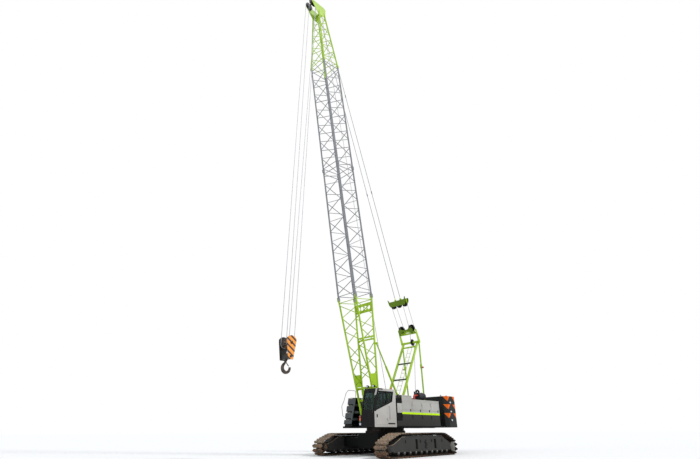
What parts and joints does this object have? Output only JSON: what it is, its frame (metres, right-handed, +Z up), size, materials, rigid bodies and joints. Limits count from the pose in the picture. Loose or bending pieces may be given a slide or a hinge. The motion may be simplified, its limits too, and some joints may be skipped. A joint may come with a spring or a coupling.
{
  "type": "crawler crane",
  "caption": "Crawler crane with a raised lattice boom, gantry, driver's cab on the left, stacked counterweight and hook block, on two tracks.",
  "frame": {"origin": "centre of the whole crane's box, on the ground", "axes": "+Z up, -Y the crane's front (boom side), +X the driver's side"},
  "size_m": [5.33, 13.0184, 32.5916],
  "materials": {
    "lime_paint": "satin",
    "boom_paint": "satin",
    "panel_paint": "satin",
    "dark_paint": "matt",
    "weight_paint": "matt",
    "black_paint": "satin",
    "crawler_paint": "matt",
    "track_steel": "worn",
    "glass": "tinted",
    "amber_lens": "clear",
    "rail_paint": "satin",
    "wire_rope": "greased",
    "hook_iron": "worn",
    "seat_cover": "woven"
  },
  "bodies": {
    "undercarriage": {"car_body": "black_paint", "slew_ring": "black_paint", "left_side_frame": "crawler_paint", "right_side_frame": "crawler_paint", "left_track": "track_steel", "right_track": "track_steel", "left_sprocket": "crawler_paint", "right_sprocket": "crawler_paint", "left_idler": "crawler_paint", "right_idler": "crawler_paint"},
    "upperworks": {"revolving_frame": "dark_paint", "counterweight_tray": "weight_paint", "counterweight_lower": "weight_paint", "counterweight_middle": "weight_paint", "counterweight_upper": "weight_paint", "left_housing": "panel_paint", "right_housing": "panel_paint", "cab_shell": "black_paint", "windshield": "glass", "quarter_glass": "glass", "right_glass": "glass", "rear_glass": "glass", "beacon": "amber_lens", "seat": "seat_cover", "console": "dark_paint", "step_box": "dark_paint", "handrail": "rail_paint", "engine_block": "dark_paint", "muffler": "black_paint", "gantry_front_frame": "lime_paint", "left_rear_leg": "lime_paint", "right_rear_leg": "lime_paint", "lower_spreader": "lime_paint"},
    "boom": {"boom_base": "lime_paint", "boom_insert_lower": "boom_paint", "boom_insert_upper": "boom_paint", "boom_head": "lime_paint", "left_backstop": "lime_paint", "right_backstop": "lime_paint", "pendants": "lime_paint"},
    "falls": {"hoist_ropes": "wire_rope"},
    "hook_block": {"hook_block": "dark_paint"},
    "hook": {"hook": "hook_iron"},
    "head_sheaves": {"head_sheaves": "black_paint"},
    "block_sheaves": {"block_sheaves": "black_paint"},
    "aux_hoist_drum": {"aux_hoist_drum": "rail_paint"},
    "main_hoist_drum": {"main_hoist_drum": "rail_paint"},
    "boom_hoist_drum": {"boom_hoist_drum": "rail_paint"},
    "cab_door": {"cab_door": "panel_paint", "door_glass": "glass"},
    "left_door_1": {"left_door_1": "panel_paint"},
    "left_door_2": {"left_door_2": "panel_paint"},
    "left_door_3": {"left_door_3": "panel_paint"},
    "left_door_4": {"left_door_4": "panel_paint"},
    "right_door_1": {"right_door_1": "panel_paint"},
    "right_door_2": {"right_door_2": "panel_paint"},
    "right_door_3": {"right_door_3": "panel_paint"},
    "right_door_4": {"right_door_4": "panel_paint"}
  },
  "joints": [
    {"name": "slew", "type": "hinge", "parent": "undercarriage", "child": "upperworks", "pos_m": [0, 1.05919, 1.33], "axis": [0, 0, 1], "continuous": true},
    {"name": "boom_luff", "type": "hinge", "parent": "upperworks", "child": "boom", "pos_m": [0, -0.12681, 1.8], "axis": [-1, 0, 0], "range_deg": [-50, 0]},
    {"name": "falls_hang", "type": "hinge", "parent": "boom", "child": "falls", "pos_m": [0, -6.17919, 32.26156], "axis": [-1, 0, 0], "range_deg": [0, 50]},
    {"name": "hook_hoist", "type": "slide", "parent": "falls", "child": "hook_block", "axis": [0, 0, -1], "range_m": [-24, 3.2], "deforming": ["hoist_ropes"]},
    {"name": "hook_swivel", "type": "hinge", "parent": "hook_block", "child": "hook", "pos_m": [0, -6.17919, 5.06156], "axis": [0, 0, 1], "continuous": true},
    {"name": "head_sheaves_spin", "type": "hinge", "parent": "boom", "child": "head_sheaves", "pos_m": [0, -6.17919, 32.26156], "axis": [1, 0, 0], "continuous": true},
    {"name": "block_sheaves_spin", "type": "hinge", "parent": "hook_block", "child": "block_sheaves", "pos_m": [0, -6.17919, 5.06156], "axis": [1, 0, 0], "continuous": true},
    {"name": "aux_hoist_drum_spin", "type": "hinge", "parent": "upperworks", "child": "aux_hoist_drum", "pos_m": [0, 1.83919, 1.95], "axis": [1, 0, 0], "continuous": true},
    {"name": "main_hoist_drum_spin", "type": "hinge", "parent": "upperworks", "child": "main_hoist_drum", "pos_m": [0, 2.73919, 1.95], "axis": [1, 0, 0], "continuous": true},
    {"name": "boom_hoist_drum_spin", "type": "hinge", "parent": "upperworks", "child": "boom_hoist_drum", "pos_m": [0, 3.63919, 1.95], "axis": [1, 0, 0], "continuous": true},
    {"name": "cab_door_hinge", "type": "hinge", "parent": "upperworks", "child": "cab_door", "pos_m": [1.584, -0.55081, 2], "axis": [0, 0, 1], "range_deg": [0, 95]},
    {"name": "left_door_1_hinge", "type": "hinge", "parent": "upperworks", "child": "left_door_1", "pos_m": [1.614, 0.66919, 1.72], "axis": [0, 0, -1], "range_deg": [0, 110]},
    {"name": "left_door_2_hinge", "type": "hinge", "parent": "upperworks", "child": "left_door_2", "pos_m": [1.614, 1.60919, 1.72], "axis": [0, 0, -1], "range_deg": [0, 110]},
    {"name": "left_door_3_hinge", "type": "hinge", "parent": "upperworks", "child": "left_door_3", "pos_m": [1.614, 2.53919, 1.72], "axis": [0, 0, -1], "range_deg": [0, 110]},
    {"name": "left_door_4_hinge", "type": "hinge", "parent": "upperworks", "child": "left_door_4", "pos_m": [1.614, 3.43919, 1.72], "axis": [0, 0, -1], "range_deg": [0, 110]},
    {"name": "right_door_1_hinge", "type": "hinge", "parent": "upperworks", "child": "right_door_1", "pos_m": [-1.614, 0.66919, 1.72], "axis": [0, 0, 1], "range_deg": [0, 110]},
    {"name": "right_door_2_hinge", "type": "hinge", "parent": "upperworks", "child": "right_door_2", "pos_m": [-1.614, 1.60919, 1.72], "axis": [0, 0, 1], "range_deg": [0, 110]},
    {"name": "right_door_3_hinge", "type": "hinge", "parent": "upperworks", "child": "right_door_3", "pos_m": [-1.614, 2.53919, 1.72], "axis": [0, 0, 1], "range_deg": [0, 110]},
    {"name": "right_door_4_hinge", "type": "hinge", "parent": "upperworks", "child": "right_door_4", "pos_m": [-1.614, 3.43919, 1.72], "axis": [0, 0, 1], "range_deg": [0, 110]}
  ],
  "couplings": [
    {"joint": "falls_hang", "follows": "boom_luff", "ratio": -1}
  ]
}
